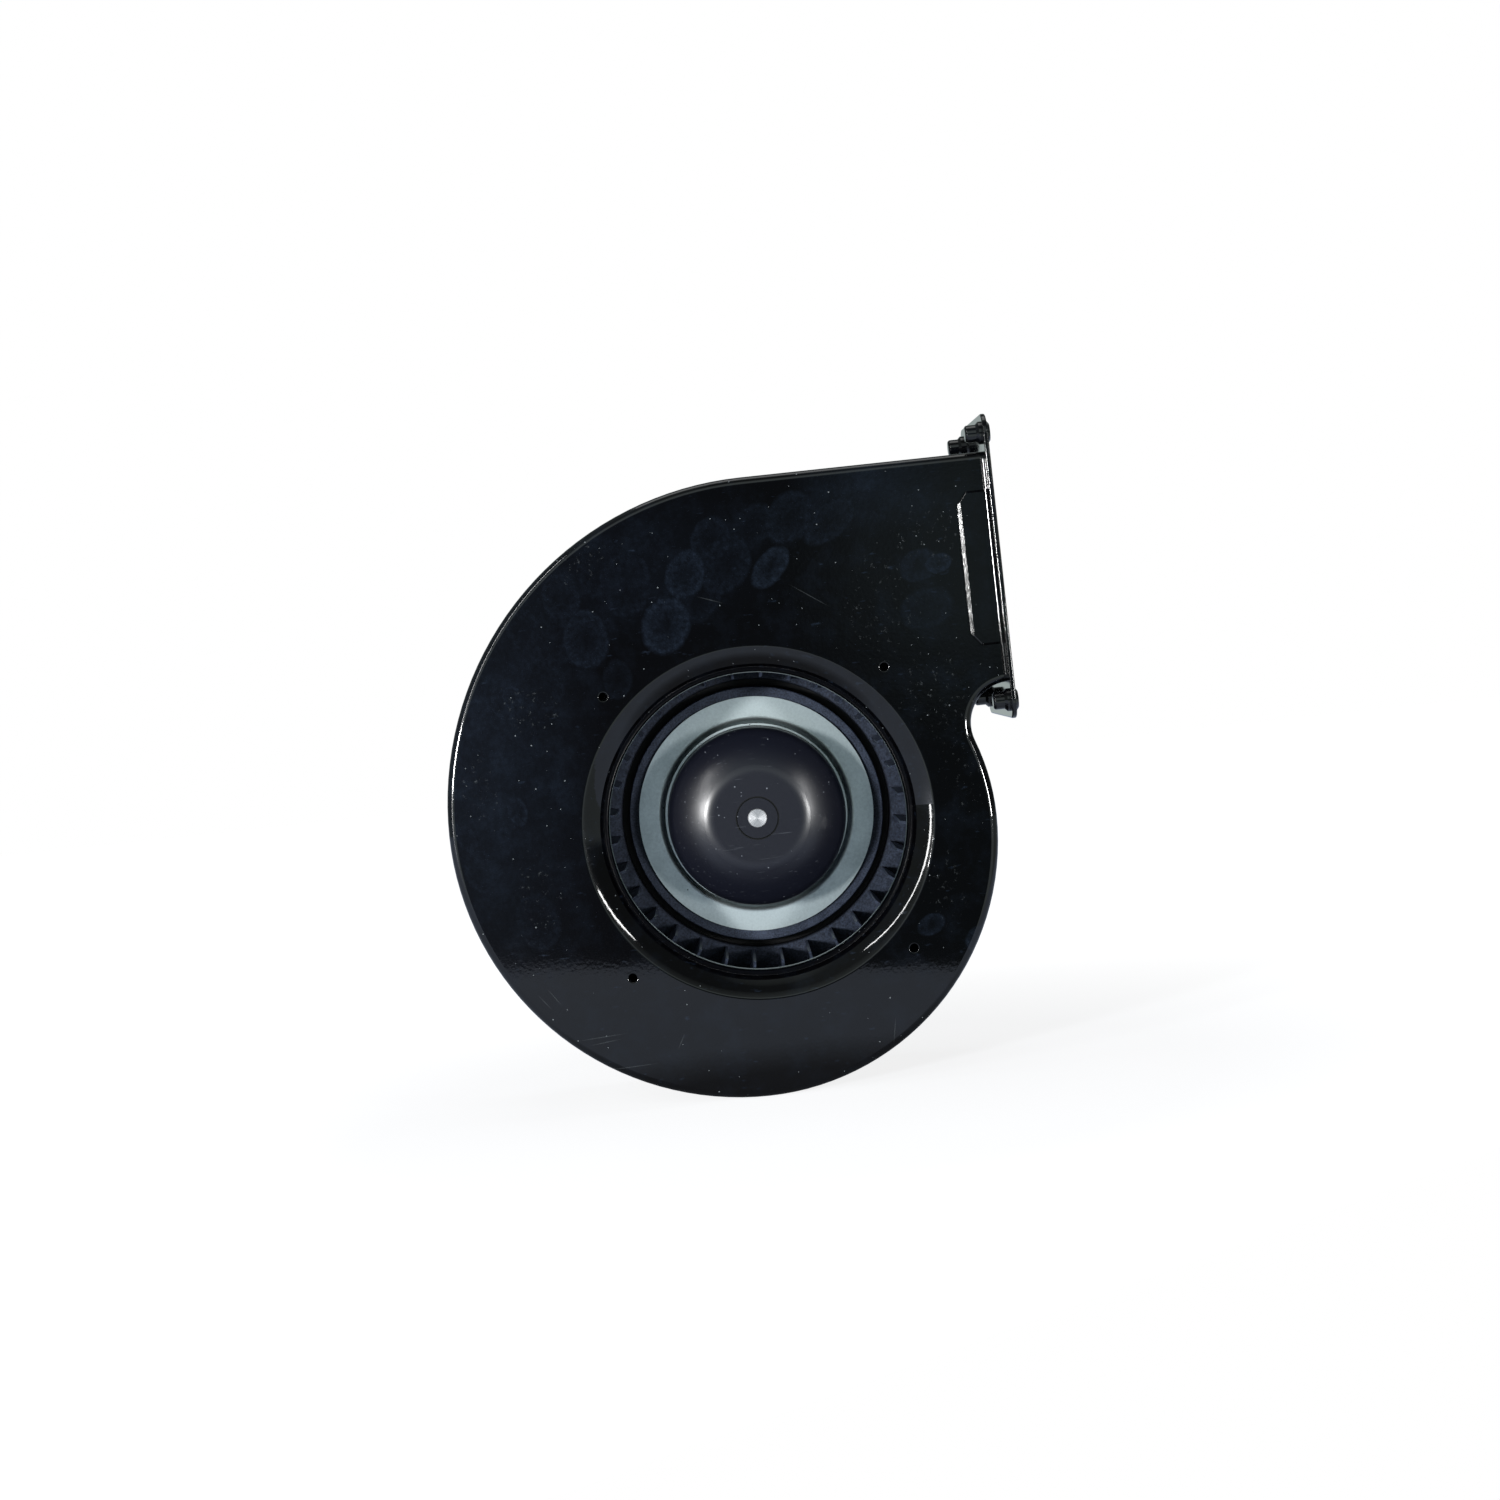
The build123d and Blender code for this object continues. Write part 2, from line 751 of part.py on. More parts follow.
# Rotor cup: domed front, open toward the motor base
with BuildPart() as rotor_cup:
    with BuildSketch(Plane.XY):
        add(cup_face(0))
        add(cup_face(rotor_wall), mode=Mode.SUBTRACT)
        with Locations((0, rotor_front)):
            Rectangle(2 * bush_radius, 3 * rotor_wall, mode=Mode.SUBTRACT)
    revolve(axis=Axis.Y)
write_piece(rotor_cup.part, "rotor_cup")

# Bush that joins the cup to the shaft, its nose against the front bearing
rotor_bush = turned(
    [
        (shaft_radius, rotor_front),
        (bush_radius - bush_groove, rotor_front),
        (bush_radius - bush_groove, rotor_front + bush_groove_depth),
        (bush_radius, rotor_front + bush_groove_depth),
        (bush_radius, bush_seat),
        (bush_flange_radius, bush_seat),
        (bush_flange_radius, bush_seat + bush_flange),
        (bush_radius, bush_seat + bush_flange),
        (bush_radius, bearing_front - bush_nose),
        (bush_nose_radius, bearing_front - bush_nose),
        (bush_nose_radius, bearing_front),
        (shaft_radius, bearing_front),
    ]
)
write_piece(rotor_bush, "rotor_bush")

# Shaft with chamfered ends and the clip groove
shaft = turned(
    [
        (0, rotor_front - shaft_proud),
        (shaft_radius - shaft_proud, rotor_front - shaft_proud),
        (shaft_radius, rotor_front),
        (shaft_radius, rear_seat_end),
        (shaft_radius - clip_groove, rear_seat_end),
        (shaft_radius - clip_groove, rear_seat_end + clip_sheet),
        (shaft_radius, rear_seat_end + clip_sheet),
        (shaft_radius, shaft_end - break_edge),
        (shaft_radius - break_edge, shaft_end),
        (0, shaft_end),
    ]
)
write_piece(shaft, "shaft")

# Magnet segments bonded inside the cup
with BuildPart() as rotor_magnets:
    with BuildSketch(depth_plane(magnet_start)):
        add(ring_face(magnet_outer, magnet_outer - magnet_thickness))
        with PolarLocations(magnet_outer, magnet_count):
            Rectangle(3 * magnet_thickness, magnet_gap, mode=Mode.SUBTRACT)
    extrude(amount=-magnet_length)
write_piece(rotor_magnets.part, "rotor_magnets")

# Shielded ball bearings: outer race with both shields, and inner race
shield_bore = race_inner + shield_gap
for place, start in (("front", bearing_front), ("rear", bearing_rear)):
    end = start + bearing_width
    outer_race = turned(
        [
            (shield_bore, start + shield_inset),
            (race_outer, start + shield_inset),
            (race_outer, start),
            (bearing_radius - break_edge, start),
            (bearing_radius, start + break_edge),
            (bearing_radius, end - break_edge),
            (bearing_radius - break_edge, end),
            (race_outer, end),
            (race_outer, end - shield_inset),
            (shield_bore, end - shield_inset),
            (shield_bore, end - shield_inset - shield_sheet),
            (race_outer, end - shield_inset - shield_sheet),
            (race_outer, start + shield_inset + shield_sheet),
            (shield_bore, start + shield_inset + shield_sheet),
        ]
    )
    write_piece(outer_race, place + "_bearing_outer_race")
    inner_race = turned(
        [(shaft_radius, start), (race_inner, start), (race_inner, end), (shaft_radius, end)]
    )
    write_piece(inner_race, place + "_bearing_inner_race")

# Preload spring between the front bearing and the shoulder of the tube
with BuildPart() as preload_spring:
    with BuildSketch(depth_plane(bearing_front + bearing_width)):
        add(ring_face(bearing_radius - spring_gap, race_outer + spring_gap))
    extrude(amount=-spring_height)
write_piece(preload_spring.part, "preload_spring")

# Open retaining clip in the shaft groove
clip_wide = 2 * clip_radius * math.sin(math.radians(clip_gap_angle / 2))
with BuildPart() as shaft_clip:
    with BuildSketch(depth_plane(rear_seat_end)):
        add(ring_face(clip_radius, shaft_radius - clip_groove))
        with Locations((clip_radius, 0)):
            Rectangle(2 * clip_radius, clip_wide, mode=Mode.SUBTRACT)
    extrude(amount=-clip_sheet)
write_piece(shaft_clip.part, "shaft_clip")

# Laminated stator core and its end insulators
with BuildPart() as stator_core:
    with BuildSketch(depth_plane(stack_start)):
        add(stator_face(stator_radius))
    extrude(amount=-stack_length)
write_piece(stator_core.part, "stator_core")

for place, start in (("front", stack_start - insulator), ("rear", stack_end)):
    with BuildPart() as end_insulator:
        with BuildSketch(depth_plane(start)):
            add(stator_face(stator_radius - insulator_inset))
        extrude(amount=-insulator)
    write_piece(end_insulator.part, place + "_insulator")

# Coils wound on the teeth
coil_high = stack_length + 2 * insulator + 2 * coil_gap
coil_wide = tooth_width + 2 * coil_gap
coil_inner = tube_radius + yoke_width + coil_room
coil_limit = stator_radius - tooth_tip - coil_room
coil_outer = math.sqrt(coil_limit**2 - (coil_wide / 2 + coil_side) ** 2)
with BuildPart() as coil:
    with BuildSketch(Plane.YZ.offset(coil_inner)):
        with Locations((stack_start + stack_length / 2, 0)):
            RectangleRounded(coil_high + 2 * coil_end, coil_wide + 2 * coil_side, coil_round)
            Rectangle(coil_high, coil_wide, mode=Mode.SUBTRACT)
    extrude(amount=coil_outer - coil_inner)
with BuildPart() as stator_coils:
    for i in range(slot_count):
        add(coil.part.rotate(Axis.Y, -360 * i / slot_count))
write_piece(stator_coils.part, "stator_coils")

# Round motor plate screwed over the rear opening
with BuildPart() as mount_plate:
    with BuildSketch(depth_plane(housing_depth)):
        Circle(rear_opening + plate_lap)
        Circle(spigot_radius, mode=Mode.SUBTRACT)
        with Locations(*plate_spots):
            Circle(plate_screw_radius + screw_gap, mode=Mode.SUBTRACT)
        with Locations(*ear_spots):
            Circle(base_screw_radius, mode=Mode.SUBTRACT)
    extrude(amount=-motor_plate)
    rear_circles = mount_plate.edges().filter_by(GeomType.CIRCLE).group_by(Axis.Y)[-1]
    fillet(rear_circles.sort_by(lambda e: e.radius)[-1:], motor_plate_round)
write_piece(mount_plate.part, "motor_plate")
plate_screws = screw_set(plate_spots, plate_screw_radius, plate_screw_length, motor_plate_rear)
write_piece(plate_screws, "motor_plate_screws")

# Cast motor base: bearing tube, spigot, ears and the electronics chamber
with BuildPart() as motor_base:
    add(
        turned(
            [
                (bearing_radius, bearing_front - tube_lead),
                (tube_radius, bearing_front - tube_lead),
                (tube_radius, housing_depth - tube_cone),
                (tube_radius + tube_cone, housing_depth),
                (spigot_radius - spigot_gap, housing_depth),
                (spigot_radius - spigot_gap, motor_plate_rear),
                (base_radius, motor_plate_rear),
                (base_radius, chamber_rear),
                (chamber_radius, chamber_rear),
                (chamber_radius, base_rear),
                (bearing_radius, base_rear),
                (bearing_radius, bearing_rear),
                (bearing_radius - tube_shoulder, bearing_rear),
                (bearing_radius - tube_shoulder, spring_end),
                (bearing_radius, spring_end),
            ]
        )
    )
    with BuildSketch(depth_plane(motor_plate_rear)):
        with Locations(*ear_spots):
            Circle(ear_radius)
        Circle(chamber_radius, mode=Mode.SUBTRACT)
    extrude(amount=-base_floor)
    with BuildSketch(depth_plane(motor_plate_rear)):
        with Locations(*ear_spots):
            Circle(base_screw_radius + screw_gap)
    extrude(amount=-base_floor, mode=Mode.SUBTRACT)
    with BuildSketch(depth_plane(base_rear)):
        with Locations(*cover_spots):
            Circle(cover_boss_radius)
    extrude(amount=-chamber_depth)
    with BuildSketch(depth_plane(chamber_rear)):
        with Locations(*cover_spots):
            Circle(cover_screw_radius)
    extrude(amount=cover_screw_length, mode=Mode.SUBTRACT)
    with BuildSketch(depth_plane(base_rear)):
        with Locations(*board_spots):
            Circle(board_boss_radius)
    extrude(amount=-board_boss_height)
    with BuildSketch(depth_plane(board_front)):
        with Locations(*board_spots):
            Circle(board_screw_radius)
    extrude(amount=board_screw_length - board_sheet, mode=Mode.SUBTRACT)
    with Locations((0, grommet_y, -cable_boss_middle)):
        Cylinder(cable_boss_radius, cable_boss_end - chamber_radius)
        Cylinder(grommet_radius, 2 * (cable_boss_end - chamber_radius), mode=Mode.SUBTRACT)
write_piece(motor_base.part, "motor_base")
base_screws = screw_set(ear_spots, base_screw_radius, base_screw_length, base_rear)
write_piece(base_screws, "motor_base_screws")

# Circuit board with its parts, held by screws on the chamber's bosses
with BuildPart() as circuit_board:
    with BuildSketch(depth_plane(board_front)):
        Circle(board_radius)
        Circle(board_bore, mode=Mode.SUBTRACT)
        with Locations(*board_spots):
            Circle(board_screw_radius + screw_gap, mode=Mode.SUBTRACT)
        with Locations(*cover_spots):
            Circle(cover_boss_radius + board_notch_gap, mode=Mode.SUBTRACT)
    extrude(amount=-board_sheet)
write_piece(circuit_board.part, "circuit_board")
board_screws = screw_set(board_spots, board_screw_radius, board_screw_length, board_rear)
write_piece(board_screws, "board_screws")

with BuildPart() as board_capacitors:
    with BuildSketch(depth_plane(board_rear)):
        with Locations(*capacitor_spots):
            Circle(capacitor_radius)
    extrude(amount=-capacitor_height)
write_piece(board_capacitors.part, "board_capacitors")

with BuildPart() as board_transistors:
    with BuildSketch(depth_plane(board_rear)):
        with Locations(*chip_spots):
            Rectangle(chip_size, chip_size)
    extrude(amount=-chip_height)
write_piece(board_transistors.part, "board_transistors")

with BuildPart() as board_controller:
    with BuildSketch(depth_plane(board_rear)):
        with Locations(*controller_spots):
            Rectangle(controller_size, controller_size)
    extrude(amount=-controller_height)
write_piece(board_controller.part, "board_controller")

# Gasket and ribbed cover of the electronics chamber
with BuildPart() as cover_gasket:
    with BuildSketch(depth_plane(chamber_rear)):
        add(ring_face(base_radius - gasket_inset, chamber_radius + gasket_inset))
        with Locations(*cover_spots):
            Circle(cover_boss_radius - gasket_inset)
            Circle(cover_screw_radius + screw_gap, mode=Mode.SUBTRACT)
    extrude(amount=-gasket_sheet)
write_piece(cover_gasket.part, "cover_gasket")

rib_start = cover_hub_radius - cover_rib_gap
rib_length = cover_boss_ring - cover_boss_radius - cover_rib_gap - rib_start
rib_turn = 180 / cover_rib_count
with BuildPart() as motor_cover:
    with BuildSketch(depth_plane(cover_front)):
        Circle(base_radius)
        with Locations(*cover_spots):
            Circle(cover_screw_radius + screw_gap, mode=Mode.SUBTRACT)
    extrude(amount=-cover_sheet)
    rear_circles = motor_cover.edges().filter_by(GeomType.CIRCLE).group_by(Axis.Y)[-1]
    fillet(rear_circles.sort_by(lambda e: e.radius)[-1:], cover_round)
    with BuildSketch(depth_plane(cover_rear)):
        Circle(cover_hub_radius)
        with PolarLocations(rib_start + rib_length / 2, cover_rib_count, start_angle=rib_turn):
            Rectangle(rib_length, cover_rib_width)
    extrude(amount=-cover_rib)
write_piece(motor_cover.part, "motor_cover")
cover_screws = screw_set(cover_spots, cover_screw_radius, cover_screw_length, cover_rear)
write_piece(cover_screws, "cover_screws")

# Rubber grommet in the cable boss, its lip outside
with BuildPart() as cable_grommet:
    with Locations((0, grommet_y, -cable_boss_middle)):
        Cylinder(grommet_radius, cable_boss_end - chamber_radius)
    with Locations((0, grommet_y, -cable_boss_end - grommet_lip / 2)):
        Cylinder(grommet_radius + grommet_lip_width, grommet_lip)
    with Locations((0, grommet_y, -cable_boss_end)):
        Cylinder(
            grommet_radius - grommet_wall,
            4 * (cable_boss_end - chamber_radius),
            mode=Mode.SUBTRACT,
        )
write_piece(cable_grommet.part, "cable_grommet")
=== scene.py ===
import math

import bmesh
import bpy
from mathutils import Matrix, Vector


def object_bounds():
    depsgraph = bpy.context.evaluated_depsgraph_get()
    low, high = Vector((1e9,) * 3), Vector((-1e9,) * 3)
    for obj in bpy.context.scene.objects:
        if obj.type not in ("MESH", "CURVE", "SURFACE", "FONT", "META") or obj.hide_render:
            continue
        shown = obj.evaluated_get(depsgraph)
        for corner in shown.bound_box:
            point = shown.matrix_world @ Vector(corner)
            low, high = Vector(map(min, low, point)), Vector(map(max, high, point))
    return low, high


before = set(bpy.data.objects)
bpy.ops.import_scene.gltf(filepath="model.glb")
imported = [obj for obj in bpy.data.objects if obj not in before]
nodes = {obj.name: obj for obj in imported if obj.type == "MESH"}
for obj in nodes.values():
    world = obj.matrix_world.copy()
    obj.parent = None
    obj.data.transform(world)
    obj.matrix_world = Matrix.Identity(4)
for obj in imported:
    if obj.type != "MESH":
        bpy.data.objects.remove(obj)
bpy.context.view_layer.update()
scene = bpy.context.scene

MM = 0.001

# Camera, in millimetres and degrees: level with the outlet duct, a little left of the fan axis
CAMERA_AT = (-9.4, -1050.0, 72.4)
CAMERA_ROLL = 6.1
CAMERA_LENS = 63.0
CAMERA_SENSOR = 36.0
CAMERA_SHIFT = (0.0227, -0.07)

# Floor: its height in metres, then in millimetres the ends of its front edge and how far it runs back
FLOOR_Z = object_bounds()[0].z
FLOOR_EDGE = ((-1900.0, -2060.0), (1500.0, 880.0))
FLOOR_BACK = 2500.0

# Lamps, all aimed at the middle of the inlet: name, degrees from straight in front, how far out and how high
# in millimetres, width and length in millimetres, and watts
LAMPS = [
    ("key_softbox", -36.0, 1500.0, 150.0, (110.0, 160.0), 24.0),
    ("key_strip", -44.0, 1600.0, 200.0, (60.0, 2400.0), 14.0),
    ("fill_softbox", 36.0, 1500.0, -20.0, (110.0, 200.0), 11.0),
    ("fill_strip", 42.0, 1600.0, 430.0, (60.0, 460.0), 3.0),
    ("top_softbox", 180.0, 150.0, 1300.0, (900.0, 700.0), 3.0),
]

# The backdrop's white, the cool white of the room in reflections, and the little light it gives to the rest
WHITE = "#FFFFFF"
COOL = "#D6E6FF"
ROOM_GLOW = 0.03

# Handling marks on the inlet plate, in millimetres: across, up, width, height, and how strong
FINGER_MARKS = [
    (-28.4, 82.5, 19, 24, 0.75), (-18.7, 101.6, 16, 21, 0.7), (-43.0, 100.2, 22, 27, 0.35),
    (-69.0, 98.5, 16, 20, 0.4), (-60.9, 80.0, 19, 24, 0.5), (-2.4, 103.9, 19, 26, 0.4),
    (15.4, 101.0, 11, 20, 0.75), (25.5, 120.0, 18, 24, 0.4), (41.0, 117.0, 14, 25, 0.4),
    (9.3, 117.7, 15, 22, 0.3), (-7.0, 114.4, 16, 20, 0.4), (-33.4, 112.2, 16, 20, 0.3),
    (-85.7, 86.6, 14, 18, 0.35), (-80.8, 64.0, 19, 24, 0.35), (-95.7, 58.2, 12, 16, 0.5),
    (-104.7, 44.4, 14, 22, 0.4), (-103.7, 16.2, 18, 24, 0.35), (74.6, 95.4, 13, 16, 0.45),
    (82.5, 95.5, 8, 11, 0.7), (76.0, 78.0, 17, 22, 0.3), (-92.0, -30.0, 18, 24, 0.3),
    (-50.0, 63.0, 12, 16, 0.25), (84.0, -56.0, 11, 14, 0.5), (56.0, 126.0, 26, 16, 0.3),
    (-52.0, 108.0, 20, 26, 0.3), (-14.0, 92.0, 17, 22, 0.3), (-112.0, -8.0, 14, 20, 0.4),
    (-74.0, 82.0, 18, 24, 0.3), (-92.7, 60.4, 8, 10, 0.7), (-95.6, 14.8, 8, 13, 0.6),
    (-117.0, 6.4, 8, 14, 0.5), (64.6, -47.9, 8, 12, 0.5),
]
# Lean of a finger mark over the fan axis in degrees, and how much it changes for each millimetre across
FINGER_LEAN = 35.0
FINGER_TURN = 0.5
# A broad bluish film of skin grease: across, up, width, height, and how strong
GREASE_FILMS = [
    (-108.0, 40.0, 96.0, 190.0, 0.5),
    (-40.0, 108.0, 120.0, 60.0, 0.28),
    (58.0, 132.0, 60.0, 44.0, 0.5),
]
# Powdery dust: across, up, width, height
DUST_PATCHES = [
    (57.7, 83.4, 44, 74), (76.0, 45.0, 40, 56), (82.8, 10.6, 30, 60), (72.0, -34.0, 26, 52),
    (-110.0, 25.0, 24, 40), (-86.0, 54.5, 36, 34), (-62.4, 112.0, 44, 26), (80.0, 108.0, 50, 40),
    (-90.0, -20.0, 30, 50),
]
# Scratches: across, up, length, lean in degrees
SCRATCHES = [
    (-92.6, -62.5, 9, -52), (-88.6, -60.8, 10, -55), (-71.2, -78.8, 22, 3), (-61.6, -91.9, 26, 2),
    (-70.0, -81.0, 14, 6), (45.4, -88.3, 12, 80), (99.2, 95.0, 9, 75), (-9.9, 90.6, 12, -20),
    (-40.0, -84.0, 8, 62), (30.0, 88.0, 20, -35),
]
SCRATCH_WIDTH = 0.5
# Which way the smears, the skin ridges and the scuffs on the rotor cup run, in radians
SMEAR_LEAN = -0.8
RIDGE_LEAN = 0.7
SCUFF_LEAN = 0.9

# The wheel's radii in millimetres: the hub's rim, the channel's far wall, the blades' roots
HUB_RADIUS = 53.5
CHANNEL_RADIUS = 56.5
BLADE_RADIUS = 57.5
# The bush's radius, and how far the painted shade of its joint reaches on each side, in millimetres
BUSH_RADIUS = 8.6
JOINT_SHADE = 0.35

# A wave texture of scale 1 repeats every so many units
WAVE_PERIOD = math.pi / 10
# The sum of two noises keeps mostly between these
TONE_LOW = 0.75
TONE_HIGH = 1.25
# The order in which a ramp's numbers are written
RAMP = ("Value", "From Min", "From Max", "To Min", "To Max")


def paint(code):
    """An sRGB hex colour as linear RGBA."""
    parts = [int(code[i : i + 2], 16) / 255 for i in (1, 3, 5)]
    return (*[p / 12.92 if p <= 0.04045 else ((p + 0.055) / 1.055) ** 2.4 for p in parts], 1.0)


def per_mm(size):
    """The texture scale whose pattern repeats about every so many millimetres."""
    return 1 / (size * MM)


def feed(tree, node, inputs):
    """Sets a node's inputs, by name or number, to values, or links them to a socket or to the first output
    that a node has in use."""
    in_use = [socket for socket in node.inputs if socket.enabled]
    for key, value in dict(inputs).items():
        socket = in_use[key] if isinstance(key, int) else next(s for s in in_use if s.name == key)
        if isinstance(value, bpy.types.Node):
            value = next(output for output in value.outputs if output.enabled)
        if isinstance(value, bpy.types.NodeSocket):
            tree.links.new(value, socket)
        else:
            socket.default_value = value


def put(tree, kind, inputs=(), **settings):
    """One new node with its settings and its inputs."""
    node = tree.nodes.new(kind)
    for name, value in settings.items():
        setattr(node, name, value)
    feed(tree, node, inputs)
    return node


def new_finish(name):
    """A material with its shader and its object coordinates."""
    material = bpy.data.materials.new(name)
    material.use_nodes = True
    tree = material.node_tree
    shader = tree.nodes["Principled BSDF"]
    place = put(tree, "ShaderNodeTexCoord").outputs["Object"]
    return material, tree, shader, place


def wear(node_names, material):
    """Gives CAD nodes a finish."""
    for name in node_names:
        nodes[name].data.materials.clear()
        nodes[name].data.materials.append(material)


def oval_reach(tree, place, across, up, width, height, turn=0.0):
    """How far a point lies from the middle of an oval on the inlet plate, 1 at its edge."""
    oval = put(
        tree,
        "ShaderNodeMapping",
        {
            "Vector": place,
            "Location": (across * MM, 0, up * MM),
            "Rotation": (0, math.radians(turn), 0),
            "Scale": (width * MM / 2, 1, height * MM / 2),
        },
        vector_type="TEXTURE",
    )
    return put(tree, "ShaderNodeVectorMath", {0: oval}, operation="LENGTH")


def axis_reach(tree, place):
    """How far a point lies from the fan axis, in metres."""
    flat = put(tree, "ShaderNodeVectorMath", {0: place, 1: (1.0, 0.0, 1.0)}, operation="MULTIPLY")
    return put(tree, "ShaderNodeVectorMath", {0: flat}, operation="LENGTH")


def dust_specks(tree, place, spacing, bare, largest):
    """Round specks, at most one in each cell of so many millimetres: bare is the share of cells with none,
    and largest the greatest radius, in cells."""
    cells = put(tree, "ShaderNodeTexVoronoi", {"Vector": place, "Scale": per_mm(spacing)})
    lot = put(tree, "ShaderNodeSeparateColor", {"Color": cells.outputs["Color"]})
    radius = put(tree, "ShaderNodeMapRange", {"Value": lot, "From Min": bare, "To Max": largest})
    return put(tree, "ShaderNodeMath", {0: cells, 1: radius}, operation="LESS_THAN")


def toned(tree, tone, colours, roughness):
    """Colour and roughness that follow a surface's tone: dark where it is rough, pale where it is smooth."""
    dark, pale = colours
    smooth, rough = roughness
    shade = put(tree, "ShaderNodeMapRange", {"Value": tone, "From Min": TONE_LOW, "From Max": TONE_HIGH})
    colour = put(
        tree, "ShaderNodeMix", {"Factor": shade, "A": paint(dark), "B": paint(pale)}, data_type="RGBA"
    )
    gloss = put(tree, "ShaderNodeMapRange", zip(RAMP, (tone, TONE_LOW, TONE_HIGH, rough, smooth)))
    return colour, gloss


def hand_grease(tree, place, haze, cloud, patchy):
    """A haze of skin grease, and on it the films, smears and finger marks that hands leave."""
    for across, up, width, height, strength in GREASE_FILMS:
        reach = oval_reach(tree, place, across, up, width, height)
        film = put(tree, "ShaderNodeMapRange", zip(RAMP, (reach, 1.1, 0.2, 0.0, strength)))
        clouded = put(tree, "ShaderNodeMath", {0: film, 1: cloud}, operation="MULTIPLY")
        haze = put(tree, "ShaderNodeMath", {0: haze, 1: clouded}, operation="ADD")
    # short smears about 2 mm wide, wiped downwards to the right
    wipe = put(
        tree,
        "ShaderNodeMapping",
        {"Vector": place, "Rotation": (0, SMEAR_LEAN, 0), "Scale": (0.35, 1.0, 1.0)},
    )
    smear = put(tree, "ShaderNodeTexNoise", {"Vector": wipe, "Scale": per_mm(2.0), "Detail": 3.0})
    smeared = put(tree, "ShaderNodeMapRange", {"Value": smear, "From Min": 0.64, "From Max": 0.8})
    haze = put(tree, "ShaderNodeMath", {0: haze, 1: smeared}, operation="MAXIMUM")
    # skin ridges are about 0.5 mm apart and are drawn 1.1 mm apart so that they show
    slant = put(tree, "ShaderNodeMapping", {"Vector": place, "Rotation": (0, RIDGE_LEAN, 0)})
    ridge = put(
        tree,
        "ShaderNodeTexWave",
        {
            "Vector": slant,
            "Scale": per_mm(1.1) * WAVE_PERIOD,
            "Distortion": 6.0,
            "Detail": 1.0,
            "Detail Scale": 0.02,
        },
    )
    ridged = put(tree, "ShaderNodeMapRange", {"Value": ridge.outputs["Fac"], "To Min": 0.85})
    skin = put(tree, "ShaderNodeMath", {0: ridged, 1: patchy}, operation="MULTIPLY")
    # each mark has a ragged edge, and is strongest just inside it where the finger rolled
    for across, up, width, height, strength in FINGER_MARKS:
        lean = FINGER_LEAN + FINGER_TURN * across
        reach = oval_reach(tree, place, across, up, width, height, lean)
        ragged = put(tree, "ShaderNodeMath", {0: cloud, 1: 0.4, 2: reach}, operation="MULTIPLY_ADD")
        edge = put(tree, "ShaderNodeMapRange", zip(RAMP, (ragged, 1.26, 1.08, 0.0, strength)))
        body = put(tree, "ShaderNodeMapRange", zip(RAMP, (ragged, 0.3, 1.14, 0.25, 1.0)))
        pressed = put(tree, "ShaderNodeMath", {0: edge, 1: body}, operation="MULTIPLY")
        mark = put(tree, "ShaderNodeMath", {0: pressed, 1: skin}, operation="MULTIPLY")
        haze = put(tree, "ShaderNodeMath", {0: haze, 1: mark}, operation="MAXIMUM")
    return haze


def hand_dust(tree, place, dusty, streak):
    """Specks of dust, with the powder that clings where hands have been, and scratches."""
    # powder lies in uneven dabs of up to 2.5 mm
    powder = put(
        tree,
        "ShaderNodeTexNoise",
        {"Vector": place, "Scale": per_mm(2.5), "Detail": 5.0, "Roughness": 0.75},
    )
    for across, up, width, height in DUST_PATCHES:
        reach = oval_reach(tree, place, across, up, width, height)
        near = put(tree, "ShaderNodeMapRange", zip(RAMP, (reach, 1.3, 0.5, 0.0, 0.17)))
        dab = put(tree, "ShaderNodeMath", {0: powder, 1: near}, operation="ADD")
        dabbed = put(tree, "ShaderNodeMapRange", zip(RAMP, (dab, 0.76, 0.95, 0.0, 0.26)))
        dusty = put(tree, "ShaderNodeMath", {0: dusty, 1: dabbed}, operation="MAXIMUM")
    for across, up, length, lean in SCRATCHES:
        reach = oval_reach(tree, place, across, up, length, SCRATCH_WIDTH, -lean)
        nick = put(tree, "ShaderNodeMapRange", zip(RAMP, (reach, 1.0, 0.2, 0.0, 0.16)))
        broken = put(tree, "ShaderNodeMath", {0: nick, 1: streak}, operation="MULTIPLY")
        dusty = put(tree, "ShaderNodeMath", {0: dusty, 1: broken}, operation="MAXIMUM")
    return dusty


